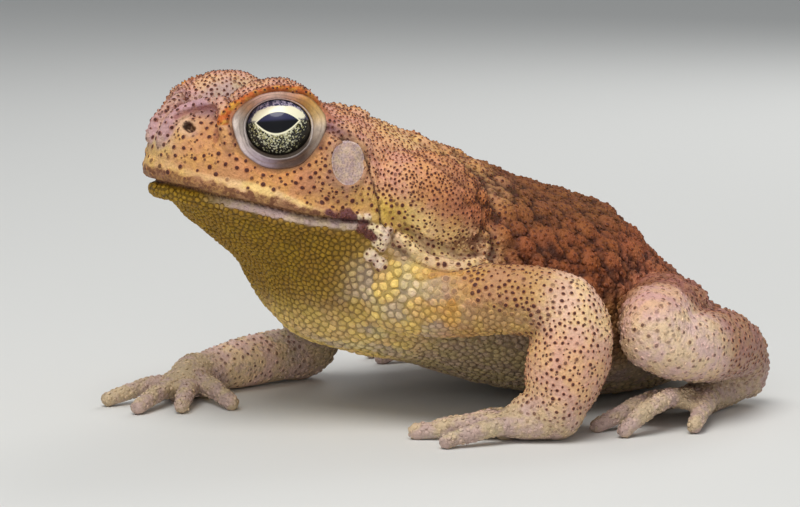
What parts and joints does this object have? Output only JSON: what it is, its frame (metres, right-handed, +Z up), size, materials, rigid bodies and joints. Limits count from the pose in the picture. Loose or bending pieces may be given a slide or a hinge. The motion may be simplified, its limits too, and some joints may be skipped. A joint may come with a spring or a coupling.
{
  "type": "cane toad",
  "caption": "Cane toad sitting with its head raised, warty skin and big parotoid glands, as a still life-size animal model for display.",
  "frame": {"origin": "on the floor, in the middle of the underside of the bounding box, under the belly", "axes": "+Z up, -Y the way the toad faces, +X the toad's left side"},
  "size_m": [0.1108, 0.1252, 0.0647],
  "materials": {
    "skin": "dry warty skin, low sheen",
    "throat": "granular skin, low sheen",
    "eardrum": "smooth taut skin, soft sheen",
    "eye": "wet and clear, high gloss"
  },
  "bodies": {
    "root": {"head": "skin", "lower_jaw": "throat", "torso": "skin", "parotoid_left": "skin", "parotoid_right": "skin", "eardrum_left": "eardrum", "eardrum_right": "eardrum", "eye_left": "eye", "eye_right": "eye", "upper_arm_left": "skin", "upper_arm_right": "skin", "forearm_left": "skin", "forearm_right": "skin", "hand_left": "skin", "hand_right": "skin", "thigh_left": "skin", "thigh_right": "skin", "shank_left": "skin", "shank_right": "skin", "foot_left": "skin", "foot_right": "skin"}
  },
  "joints": []
}
